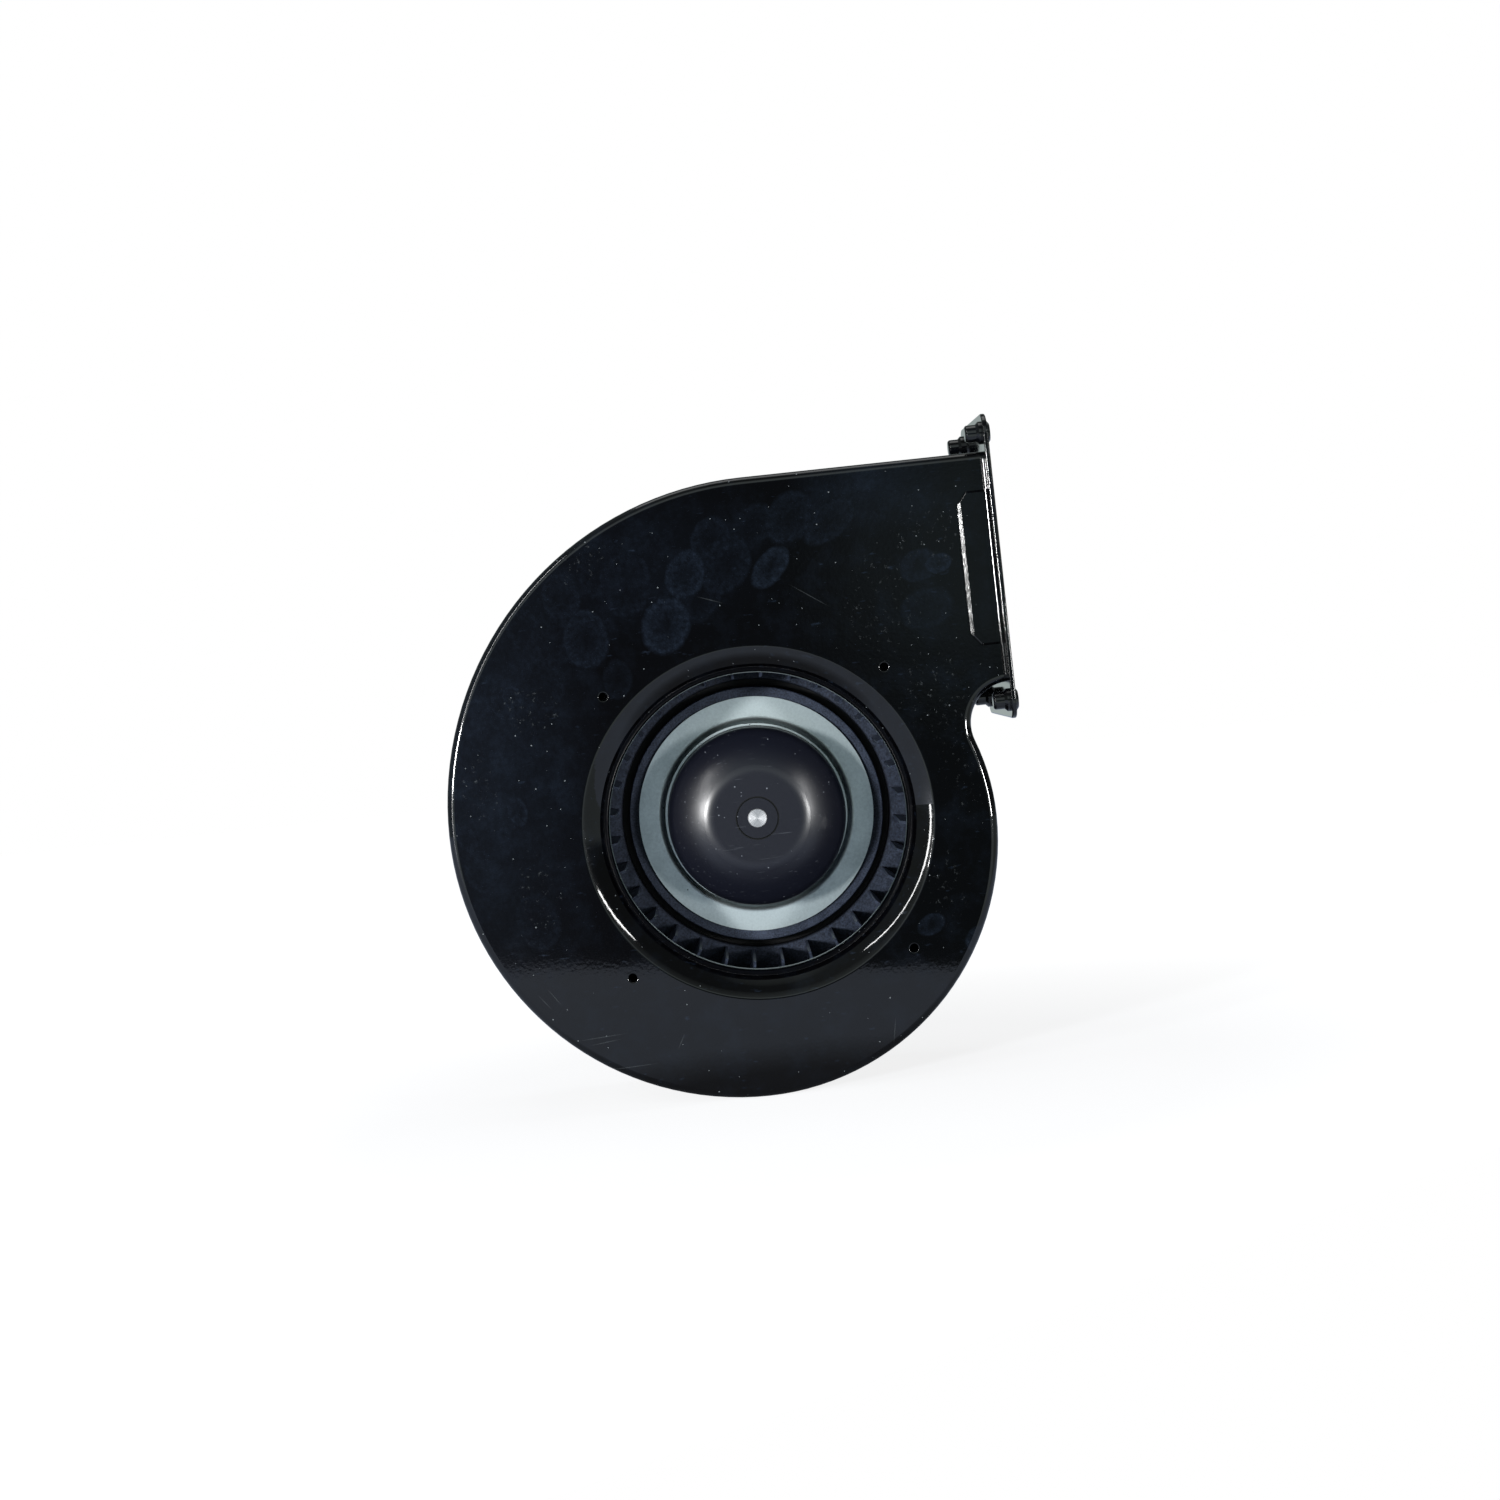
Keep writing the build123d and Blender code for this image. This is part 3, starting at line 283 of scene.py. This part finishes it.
def stove_enamel(name, handled):
    """Gloss black stove enamel on pressed steel: near-black, mirror-like, with the faint dimpling of sprayed
    paint, a few specks of dust and, where hands hold the fan, bluish finger marks and fine scratches."""
    material, tree, shader, place = new_finish(name)
    # dimpling about 1.6 mm across, on slow waves of the sheet about 35 mm long
    peel = put(tree, "ShaderNodeTexNoise", {"Vector": place, "Scale": per_mm(1.6), "Detail": 1.5})
    sheet = put(tree, "ShaderNodeTexNoise", {"Vector": place, "Scale": per_mm(35), "Detail": 1.0})
    wavy = put(tree, "ShaderNodeBump", {"Strength": 0.25, "Distance": 0.35 * MM, "Height": sheet})
    dimpled = put(
        tree, "ShaderNodeBump", {"Strength": 0.2, "Distance": 0.05 * MM, "Height": peel, "Normal": wavy}
    )
    # a thin haze of skin grease in clouds about 14 mm across, broken up by streaks of about 2.2 mm
    cloud = put(
        tree,
        "ShaderNodeTexNoise",
        {"Vector": place, "Scale": per_mm(14), "Detail": 5.0, "Roughness": 0.65},
    )
    streak = put(
        tree,
        "ShaderNodeTexNoise",
        {"Vector": place, "Scale": per_mm(2.2), "Detail": 3.0, "Roughness": 0.7},
    )
    haze = put(tree, "ShaderNodeMapRange", zip(RAMP, (cloud, 0.48, 0.75, 0.0, 0.2)))
    patchy = put(tree, "ShaderNodeMapRange", zip(RAMP, (streak, 0.25, 0.7, 0.35, 1.0)))
    # dust specks in cells of 3 mm, up to 0.6 mm across on the inlet plate and 0.4 mm elsewhere
    specks = dust_specks(tree, place, spacing=3.0, bare=0.5, largest=0.1 if handled else 0.06)
    dusty = put(tree, "ShaderNodeMath", {0: specks, 1: 0.45}, operation="MULTIPLY")
    if handled:
        haze = hand_grease(tree, place, haze, cloud, patchy)
        dusty = hand_dust(tree, place, dusty, streak)
    greasy = put(tree, "ShaderNodeMath", {0: haze, 1: patchy}, operation="MULTIPLY")
    greased = put(
        tree,
        "ShaderNodeMix",
        {"Factor": greasy, "A": paint("#030304"), "B": paint("#1B2431")},
        data_type="RGBA",
    )
    colour = put(
        tree, "ShaderNodeMix", {"Factor": dusty, "A": greased, "B": paint("#8C9499")}, data_type="RGBA"
    )
    gloss = put(tree, "ShaderNodeMapRange", zip(RAMP, (greasy, 0.0, 0.6, 0.05, 0.16)))
    dull = put(tree, "ShaderNodeMath", {0: dusty, 1: 0.5, 2: gloss}, operation="MULTIPLY_ADD")
    feed(tree, shader, {"Base Color": colour, "Roughness": dull, "IOR": 1.5, "Normal": dimpled})
    return material


def filled_nylon():
    """Black glass-filled nylon, moulded: satin, with a mottled blue-grey bloom, left out of the channel as a
    painted shade, and pale fibre specks.
    """
    material, tree, shader, place = new_finish("moulded_glass_nylon")
    # fibres show as specks of about 0.7 mm, and flow marks as clouds of about 5 mm
    fibre = put(
        tree,
        "ShaderNodeTexNoise",
        {"Vector": place, "Scale": per_mm(0.7), "Detail": 2.0, "Roughness": 0.6},
    )
    flow = put(
        tree,
        "ShaderNodeTexNoise",
        {"Vector": place, "Scale": per_mm(5.0), "Detail": 4.0, "Roughness": 0.7},
    )
    drift = put(tree, "ShaderNodeMath", {0: flow, 1: 0.35}, operation="MULTIPLY")
    mottle = put(tree, "ShaderNodeMath", {0: fibre, 1: drift}, operation="ADD")
    bloom = put(tree, "ShaderNodeMapRange", zip(RAMP, (mottle, 0.5, 0.85, 0.2, 0.8)))
    # painted shade: the bloom is left out of the channel, where the deep groove lies in shadow; it is full on
    # the hub and thinner among the blades
    radius = axis_reach(tree, place)
    on_hub = put(tree, "ShaderNodeMath", {0: radius, 1: HUB_RADIUS * MM}, operation="LESS_THAN")
    past_channel = put(
        tree,
        "ShaderNodeMapRange",
        zip(RAMP, (radius, CHANNEL_RADIUS * MM, BLADE_RADIUS * MM, 0.0, 0.8)),
    )
    bloom_outside_painted_shade = put(tree, "ShaderNodeMath", {0: on_hub, 1: past_channel}, operation="MAXIMUM")
    bloomed = put(tree, "ShaderNodeMath", {0: bloom, 1: bloom_outside_painted_shade}, operation="MULTIPLY")
    colour = put(
        tree,
        "ShaderNodeMix",
        {"Factor": bloomed, "A": paint("#020204"), "B": paint("#465064")},
        data_type="RGBA",
    )
    gloss = put(tree, "ShaderNodeMapRange", zip(RAMP, (flow, 0.3, 0.7, 0.34, 0.52)))
    bump = put(tree, "ShaderNodeBump", {"Strength": 0.25, "Distance": 0.08 * MM, "Height": fibre})
    feed(tree, shader, {"IOR": 1.4, "Specular IOR Level": 0.35})
    feed(tree, shader, {"Base Color": colour, "Roughness": gloss, "Normal": bump})
    return material


def zinc_plate(name, colours, roughness):
    """Zinc-plated steel: pale blue-grey metal, finely mottled, with a soft sheen and tiny dark pits."""
    material, tree, shader, place = new_finish(name)
    # plating mottle of about 1.2 mm over clouds of about 12 mm
    mottle = put(
        tree,
        "ShaderNodeTexNoise",
        {"Vector": place, "Scale": per_mm(1.2), "Detail": 4.0, "Roughness": 0.7},
    )
    cloud = put(tree, "ShaderNodeTexNoise", {"Vector": place, "Scale": per_mm(12), "Detail": 2.0})
    tone = put(tree, "ShaderNodeMath", {0: mottle, 1: cloud}, operation="ADD")
    plated, gloss = toned(tree, tone, colours, roughness)
    # pits about 0.6 mm across and 9 mm apart
    pits = put(tree, "ShaderNodeTexVoronoi", {"Vector": place, "Scale": per_mm(9.0)})
    pit = put(tree, "ShaderNodeMath", {0: pits, 1: 0.035}, operation="LESS_THAN")
    colour = put(
        tree, "ShaderNodeMix", {"Factor": pit, "A": plated, "B": paint("#4A5053")}, data_type="RGBA"
    )
    bump = put(tree, "ShaderNodeBump", {"Strength": 0.12, "Distance": 0.04 * MM, "Height": mottle})
    feed(tree, shader, {"Base Color": colour, "Metallic": 1.0, "Roughness": gloss, "Normal": bump})
    return material


def dipped_black():
    """Satin black dip coat on the drawn rotor cup: soft broad highlights, hairline scuffs and pale dust."""
    material, tree, shader, place = new_finish("satin_dip_coat")
    # coat grain of about 0.5 mm, and scuffs drawn about 0.4 mm wide so that they show
    grain = put(tree, "ShaderNodeTexNoise", {"Vector": place, "Scale": per_mm(0.5), "Detail": 2.0})
    along = put(
        tree,
        "ShaderNodeMapping",
        {"Vector": place, "Rotation": (0, SCUFF_LEAN, 0), "Scale": (0.06, 1.0, 1.0)},
    )
    scuff = put(tree, "ShaderNodeTexNoise", {"Vector": along, "Scale": per_mm(0.8), "Detail": 1.0})
    scuffed = put(tree, "ShaderNodeMapRange", zip(RAMP, (scuff, 0.7, 0.8, 0.0, 0.28)))
    # dust specks in cells of 2.6 mm, up to 0.6 mm across
    specks = dust_specks(tree, place, spacing=2.6, bare=0.55, largest=0.12)
    marks = put(tree, "ShaderNodeMath", {0: scuffed, 1: specks}, operation="MAXIMUM")
    # painted shade: the joint round the bush is darkened as if lying in the shadow of its groove
    radius = axis_reach(tree, place)
    in_joint = put(
        tree,
        "ShaderNodeMath",
        {0: radius, 1: BUSH_RADIUS * MM, 2: JOINT_SHADE * MM},
        operation="COMPARE",
    )
    coat = put(
        tree,
        "ShaderNodeMix",
        {"Factor": in_joint, "A": paint("#10121B"), "B": paint("#010101")},
        data_type="RGBA",
    )
    colour = put(
        tree, "ShaderNodeMix", {"Factor": marks, "A": coat, "B": paint("#6E747C")}, data_type="RGBA"
    )
    gloss = put(tree, "ShaderNodeMapRange", zip(RAMP, (grain, 0.3, 0.7, 0.275, 0.305)))
    bump = put(tree, "ShaderNodeBump", {"Strength": 0.03, "Distance": 0.03 * MM, "Height": grain})
    feed(tree, shader, {"Base Color": colour, "Roughness": gloss, "IOR": 1.5, "Normal": bump})
    return material


def turned_steel():
    """Bright turned steel: pale, with the concentric lines that the tool leaves, which spread the shine
    of a lamp into a bright streak across them."""
    material, tree, shader, place = new_finish("turned_steel")
    # tool lines are really about 0.1 mm apart and are drawn 0.5 mm apart so that they show
    flat = put(tree, "ShaderNodeMapping", {"Vector": place, "Rotation": (math.pi / 2, 0, 0)})
    lines = put(
        tree,
        "ShaderNodeTexWave",
        {"Vector": flat, "Scale": per_mm(0.5) * WAVE_PERIOD, "Distortion": 0.4, "Detail": 1.0},
        wave_type="RINGS",
        rings_direction="Z",
    ).outputs["Fac"]
    colour = put(
        tree,
        "ShaderNodeMix",
        {"Factor": lines, "A": paint("#B0B1B4"), "B": paint("#DADADC")},
        data_type="RGBA",
    )
    gloss = put(tree, "ShaderNodeMapRange", {"Value": lines, "To Min": 0.3, "To Max": 0.42})
    bump = put(tree, "ShaderNodeBump", {"Strength": 0.2, "Distance": 0.03 * MM, "Height": lines})
    # the shine is turned a quarter round, from along the lines to across them
    round_axis = put(tree, "ShaderNodeTangent", direction_type="RADIAL", axis="Y")
    feed(tree, shader, {"Anisotropic": 0.35, "Anisotropic Rotation": 0.25, "Tangent": round_axis})
    feed(tree, shader, {"Base Color": colour, "Metallic": 1.0, "Roughness": gloss, "Normal": bump})
    return material


def grained(name, colours, grain, roughness, metal=0.0, stretch=(1.0, 1.0, 1.0), relief=0.05):
    """A plain finish with a grain of so many millimetres in colour, gloss and relief, over clouds that are
    six times as coarse."""
    material, tree, shader, place = new_finish(name)
    along = put(tree, "ShaderNodeMapping", {"Vector": place, "Scale": stretch})
    coarse = put(tree, "ShaderNodeTexNoise", {"Vector": along, "Scale": per_mm(grain * 6), "Detail": 3.0})
    fine = put(
        tree,
        "ShaderNodeTexNoise",
        {"Vector": along, "Scale": per_mm(grain), "Detail": 3.0, "Roughness": 0.6},
    )
    tone = put(tree, "ShaderNodeMath", {0: coarse, 1: fine}, operation="ADD")
    colour, gloss = toned(tree, tone, colours, roughness)
    bump = put(tree, "ShaderNodeBump", {"Strength": 0.4, "Distance": relief * MM, "Height": fine})
    feed(tree, shader, {"Base Color": colour, "Metallic": metal, "Roughness": gloss, "Normal": bump})
    return material


# Finishes: colours are given dark and pale, roughness smooth and rough, grain and relief in millimetres
enamel = stove_enamel("gloss_stove_enamel", handled=False)
handled_enamel = stove_enamel("handled_stove_enamel", handled=True)
nylon = filled_nylon()
bright_zinc = zinc_plate("zinc_plated_sheet", ("#AEBABD", "#C7D3D5"), (0.36, 0.43))
screw_zinc = zinc_plate("zinc_plated_screws", ("#B3B5B2", "#D5D6D2"), (0.22, 0.34))
dip_coat = dipped_black()
bright_steel = turned_steel()
# shot-blasted die casting: matt silver with a sandy grain
cast_aluminium = grained(
    "die_cast_aluminium", ("#A1A4A6", "#B5B8BA"), 0.8, (0.46, 0.54), metal=1.0, relief=0.12
)
# ground bearing steel: bright and nearly mirror, with a faint grain
ground_steel = grained("ground_bearing_steel", ("#A9ABAC", "#D2D4D5"), 0.5, (0.14, 0.24), metal=1.0)
# spring steel: blue-grey and smooth
spring_steel = grained("spring_steel", ("#5C6064", "#84898D"), 0.4, (0.25, 0.35), metal=1.0)
# stacked silicon steel: dull grey bands about 0.5 mm thick along the stack
lamination = grained(
    "stacked_silicon_steel", ("#54575A", "#8B8F92"), 0.5, (0.35, 0.5), metal=1.0, stretch=(0.05, 1.0, 0.05)
)
# sintered ferrite: charcoal and matt
ferrite = grained("sintered_ferrite", ("#26282A", "#37393C"), 0.6, (0.55, 0.7))
# natural nylon: milky white, slightly waxy
natural_nylon = grained("natural_nylon", ("#D9D6CB", "#E7E4DA"), 1.0, (0.35, 0.45))
# enamelled copper wire, wound: amber strands about 0.6 mm thick across the coil
wound_copper = grained(
    "wound_enamelled_copper", ("#7A3413", "#C0652B"), 0.6, (0.22, 0.34), metal=1.0, stretch=(1.0, 0.15, 1.0)
)
# solder mask over glass cloth: green and glossy, mottled about every 0.6 mm by the threads under it
solder_mask = grained("solder_mask_board", ("#123F24", "#1D5A33"), 0.6, (0.22, 0.3))
# epoxy moulding: black and finely pitted
epoxy = grained("epoxy_moulding", ("#17181A", "#242527"), 0.3, (0.45, 0.6))
# drawn aluminium can: bright with a soft lengthwise draw
can_aluminium = grained(
    "drawn_aluminium_can", ("#A8ABAE", "#CBCED0"), 0.5, (0.25, 0.35), metal=1.0, stretch=(1.0, 0.1, 1.0)
)
# moulded rubber: matt black with a faint bloom
rubber = grained("moulded_rubber", ("#121213", "#222324"), 0.7, (0.6, 0.75))

wear(["front_plate"], handled_enamel)
wear(["scroll_wrap", "back_plate", "outlet_flange", "flange_rivet_nuts", "motor_plate"], enamel)
wear(["wheel_disc", "wheel_blades", "wheel_ring"], nylon)
wear(["clamp_ring"], bright_zinc)
wear(["motor_plate_screws", "motor_base_screws", "cover_screws", "board_screws"], screw_zinc)
wear(["rotor_cup", "rotor_bush"], dip_coat)
wear(["shaft"], bright_steel)
wear(["motor_base", "motor_cover"], cast_aluminium)
wear(["front_bearing_outer_race", "front_bearing_inner_race"], ground_steel)
wear(["rear_bearing_outer_race", "rear_bearing_inner_race"], ground_steel)
wear(["preload_spring", "shaft_clip"], spring_steel)
wear(["stator_core"], lamination)
wear(["rotor_magnets"], ferrite)
wear(["front_insulator", "rear_insulator"], natural_nylon)
wear(["stator_coils"], wound_copper)
wear(["circuit_board"], solder_mask)
wear(["board_transistors", "board_controller"], epoxy)
wear(["board_capacitors"], can_aluminium)
wear(["cover_gasket", "cable_grommet"], rubber)


def mirrored(tree, ray):
    """1 where a reflection or a view through glass meets the surface, and 0 elsewhere."""
    return put(
        tree,
        "ShaderNodeMath",
        {0: ray.outputs["Is Glossy Ray"], 1: ray.outputs["Is Transmission Ray"]},
        operation="MAXIMUM",
    )


def white_table():
    """White table board: matt, white to the camera with a faint shade near the fan; dimmer in reflections,
    which see a painted shadow close under the fan.
    """
    material, tree, shader, place = new_finish("white_table")
    tree.nodes.remove(shader)
    ray = put(tree, "ShaderNodeLightPath")
    in_mirror = mirrored(tree, ray)
    # levels by the distance from the fan's middle: what the camera sees, and what reflections see
    spread = put(tree, "ShaderNodeVectorMath", {0: place}, operation="LENGTH")
    paler = put(tree, "ShaderNodeMapRange", zip(RAMP, (spread, 200 * MM, 450 * MM, 0.84, 1.0)))
    # painted shadow: reflections see the table dim close under the fan, where the fan's shadow falls
    reflected_table_painted_shadow = put(tree, "ShaderNodeMapRange", zip(RAMP, (spread, 125 * MM, 180 * MM, 0.05, 0.54)))
    glow = put(tree, "ShaderNodeMath", {0: in_mirror, 1: reflected_table_painted_shadow}, operation="MULTIPLY")
    lit = put(
        tree,
        "ShaderNodeMath",
        {0: ray.outputs["Is Camera Ray"], 1: paler, 2: glow},
        operation="MULTIPLY_ADD",
    )
    tint = put(
        tree, "ShaderNodeMix", {"Factor": in_mirror, "A": paint(WHITE), "B": paint(COOL)}, data_type="RGBA"
    )
    matt = put(tree, "ShaderNodeBsdfDiffuse", {"Color": paint("#8E9196")})
    white = put(tree, "ShaderNodeEmission", {"Color": tint, "Strength": lit})
    table_top = put(tree, "ShaderNodeAddShader", {0: matt, 1: white})
    feed(tree, tree.nodes["Material Output"], {"Surface": table_top})
    return material


def studio_room():
    """A room that is white to the camera. In reflections it is darkest straight behind the camera, with pale
    walls around that, a window, a ceiling, a table below and a backdrop behind the fan."""
    world = bpy.data.worlds.new("studio")
    world.use_nodes = True
    tree = world.node_tree
    ray = put(tree, "ShaderNodeLightPath")
    way = put(tree, "ShaderNodeTexCoord").outputs["Generated"]
    across, depth, up = put(tree, "ShaderNodeSeparateXYZ", {"Vector": way}).outputs
    # parts of the room as ramps over the direction: along which axis, from, to, and the level at each end
    ramps = {
        "front_dark": (depth, -0.985, -0.955, 0.07, 1.0),
        "side_dark": (depth, -0.9, -0.68, 1.0, 0.11),
        "right_dim": (across, 0.1, 0.3, 1.0, 0.75),
        "left_wall": (across, 0.0, -0.12, 0.0, 0.2),
        "overhead": (up, 0.88, 0.97, 0.0, 0.25),
        "backdrop": (depth, 0.75, 0.98, 0.0, 0.5),
        "below": (up, -0.02, -0.08, 0.0, 0.35),
        "off_front": (depth, -0.93, -0.8, 0.0, 1.0),
        "around_dark": (depth, -0.985, -0.955, 0.0, 1.0),
        "to_right": (across, -0.05, 0.08, 0.0, 1.0),
    }
    part = {name: put(tree, "ShaderNodeMapRange", zip(RAMP, ramp)) for name, ramp in ramps.items()}
    walls = part["front_dark"]
    for dimmer in (part["side_dark"], part["right_dim"]):
        walls = put(tree, "ShaderNodeMath", {0: walls, 1: dimmer}, operation="MULTIPLY")
    walls = put(tree, "ShaderNodeMath", {0: walls, 1: part["left_wall"]}, operation="MAXIMUM")
    # a dim window a little to the right of the camera
    pane = put(
        tree,
        "ShaderNodeMapping",
        {"Vector": way, "Location": (0.11, -1.0, 0.025), "Scale": (0.06, 1.0, 0.05)},
        vector_type="TEXTURE",
    )
    pane_reach = put(tree, "ShaderNodeVectorMath", {0: pane}, operation="LENGTH")
    window = put(tree, "ShaderNodeMapRange", zip(RAMP, (pane_reach, 1.4, 0.5, 0.0, 0.2)))
    table = put(tree, "ShaderNodeMath", {0: part["below"], 1: part["off_front"]}, operation="MULTIPLY")
    room = walls
    for light in (window, part["overhead"], part["backdrop"], table):
        room = put(tree, "ShaderNodeMath", {0: room, 1: light}, operation="ADD")
    in_mirror = mirrored(tree, ray)
    shown = put(
        tree, "ShaderNodeMix", {"Factor": in_mirror, "A": ROOM_GLOW, "B": room}, data_type="FLOAT"
    )
    to_camera = ray.outputs["Is Camera Ray"]
    level = put(tree, "ShaderNodeMath", {0: shown, 1: to_camera}, operation="MAXIMUM")
    # cool where the room is dark, greener to its right and around it, plain white to the camera
    tint = paint(COOL)
    for share, colour in (
        (part["to_right"], "#CBE8EE"),
        (part["around_dark"], "#E2F0EE"),
        (to_camera, WHITE),
    ):
        tint = put(
            tree, "ShaderNodeMix", {"Factor": share, "A": tint, "B": paint(colour)}, data_type="RGBA"
        )
    feed(tree, tree.nodes["Background"], {"Color": tint, "Strength": level})
    return world


# White floor: its front edge is where the plate's reflection of the table ends
floor_shape = bmesh.new()
corners = [*FLOOR_EDGE, (FLOOR_BACK, FLOOR_BACK), (-FLOOR_BACK, FLOOR_BACK)]
floor_shape.faces.new([floor_shape.verts.new((x * MM, y * MM, FLOOR_Z)) for x, y in corners])
floor_mesh = bpy.data.meshes.new("floor")
floor_shape.to_mesh(floor_mesh)
floor_shape.free()
floor = bpy.data.objects.new("floor", floor_mesh)
scene.collection.objects.link(floor)
floor_mesh.materials.append(white_table())

scene.world = studio_room()

for name, angle, out, height, size, watts in LAMPS:
    lamp = bpy.data.lights.new(name, "AREA")
    lamp.shape = "RECTANGLE"
    lamp.size = size[0] * MM
    lamp.size_y = size[1] * MM
    lamp.energy = watts
    turn = math.radians(angle)
    lamp_at = Vector((out * math.sin(turn), -out * math.cos(turn), height)) * MM
    softbox = bpy.data.objects.new(name, lamp)
    softbox.location = lamp_at
    softbox.rotation_euler = (-lamp_at).to_track_quat("-Z", "Y").to_euler()
    softbox.visible_camera = False
    scene.collection.objects.link(softbox)

camera_lens = bpy.data.cameras.new("camera")
camera_lens.sensor_width = CAMERA_SENSOR
camera_lens.lens = CAMERA_LENS
camera_lens.shift_x, camera_lens.shift_y = CAMERA_SHIFT
camera = bpy.data.objects.new("camera", camera_lens)
camera.location = Vector(CAMERA_AT) * MM
camera.rotation_euler = (math.radians(90), math.radians(CAMERA_ROLL), 0)
scene.collection.objects.link(camera)
scene.camera = camera
scene.view_settings.view_transform = "Standard"
